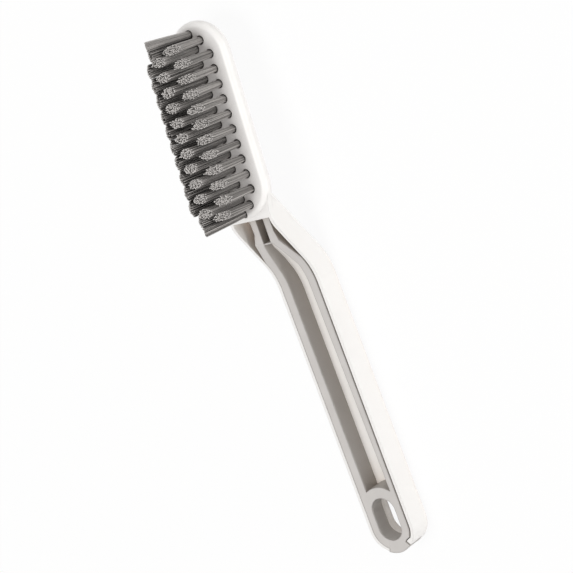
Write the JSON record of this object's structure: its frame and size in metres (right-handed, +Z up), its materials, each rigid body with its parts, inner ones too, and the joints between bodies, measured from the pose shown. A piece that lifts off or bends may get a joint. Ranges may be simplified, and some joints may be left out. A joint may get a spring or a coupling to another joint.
{
  "type": "crevice brush",
  "caption": "Hand brush for narrow gaps: slim cranked head with staggered bristle tufts, and a hollow handle with a grip insert and a hanging slot.",
  "frame": {"origin": "on the flat back of the handle, under the middle of the brush's overall length and width", "axes": "+X from the head tip to the tail, +Y across the brush, +Z up, away from the back of the handle and towards the bristle tips"},
  "size_m": [0.2202, 0.0262, 0.0529],
  "materials": {
    "handle_shell": "smooth white moulded plastic",
    "grip_insert": "satin light grey",
    "bristles": "grey nylon filament",
    "anchors": "bright"
  },
  "bodies": {
    "root": {"handle_shell": "handle_shell", "grip_insert": "grip_insert", "tuft_anchors": "anchors", "tip_tuft": "bristles", "heel_tuft": "bristles", "near_tuft_01": "bristles", "near_tuft_02": "bristles", "near_tuft_03": "bristles", "near_tuft_04": "bristles", "near_tuft_05": "bristles", "near_tuft_06": "bristles", "near_tuft_07": "bristles", "near_tuft_08": "bristles", "near_tuft_09": "bristles", "near_tuft_10": "bristles", "near_tuft_11": "bristles", "near_tuft_12": "bristles", "far_tuft_01": "bristles", "far_tuft_02": "bristles", "far_tuft_03": "bristles", "far_tuft_04": "bristles", "far_tuft_05": "bristles", "far_tuft_06": "bristles", "far_tuft_07": "bristles", "far_tuft_08": "bristles", "far_tuft_09": "bristles", "far_tuft_10": "bristles", "far_tuft_11": "bristles", "far_tuft_12": "bristles", "middle_tuft_01": "bristles", "middle_tuft_02": "bristles", "middle_tuft_03": "bristles", "middle_tuft_04": "bristles", "middle_tuft_05": "bristles", "middle_tuft_06": "bristles", "middle_tuft_07": "bristles", "middle_tuft_08": "bristles", "middle_tuft_09": "bristles", "middle_tuft_10": "bristles", "middle_tuft_11": "bristles"}
  },
  "joints": []
}
